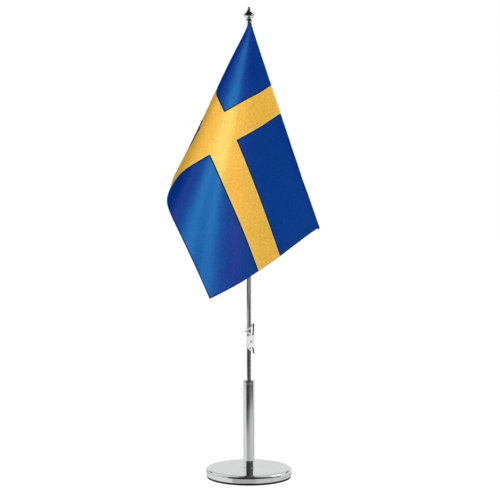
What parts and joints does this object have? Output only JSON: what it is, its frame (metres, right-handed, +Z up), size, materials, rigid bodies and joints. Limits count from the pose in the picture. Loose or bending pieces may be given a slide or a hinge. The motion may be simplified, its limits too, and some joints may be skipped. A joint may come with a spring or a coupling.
{
  "type": "desk flag stand",
  "caption": "Small table flag of two-colour satin hung from a ring on a thin chrome pole, held upright by a socket tube on a round weighted base, with a cord cleat.",
  "frame": {"origin": "centre of the base's underside, on the table", "axes": "+Z up along the pole, -Y towards the side that the flag hangs on, +X to that viewer's right"},
  "size_m": [0.131, 0.1472, 0.42],
  "materials": {
    "chrome": "bright chrome plate",
    "zinc": "zinc-plated steel, dull",
    "iron": "raw casting",
    "felt": "black felt",
    "nylon": "natural nylon",
    "cord": "white twisted polyester cord",
    "satin": "printed satin, blue with a yellow cross"
  },
  "bodies": {
    "base": {"base_pad": "felt", "base_weight": "iron", "base_cover": "chrome", "base_screw": "zinc", "base_washer": "zinc", "socket_tube": "chrome", "tube_plug": "zinc", "tube_collar": "chrome"},
    "liner": {"socket_liner": "nylon"},
    "pole": {"pole_rod": "chrome", "finial_knob": "chrome", "finial_stud": "zinc", "cleat_bar": "chrome", "cleat_rivet": "chrome", "cord_hitch": "cord", "halyard_lower": "cord"},
    "truck": {"truck_ring": "chrome", "truck_eye": "chrome", "halyard_upper": "cord"},
    "flag": {"flag_cloth": "satin", "hoist_sleeve": "satin"}
  },
  "joints": [
    {"name": "pole_turn", "type": "hinge", "parent": "base", "child": "liner", "pos_m": [0, 0, 0.05], "axis": [0, 0, 1], "continuous": true},
    {"name": "pole_lift", "type": "slide", "parent": "liner", "child": "pole", "axis": [0, 0, 1], "range_m": [0, 0.05]},
    {"name": "flag_swing", "type": "hinge", "parent": "pole", "child": "truck", "pos_m": [0, 0, 0.408], "axis": [0, 0, 1], "range_deg": [-90, 90]},
    {"name": "flag_hoist", "type": "slide", "parent": "truck", "child": "flag", "axis": [0, 0, -1], "range_m": [0, 0.055]}
  ]
}
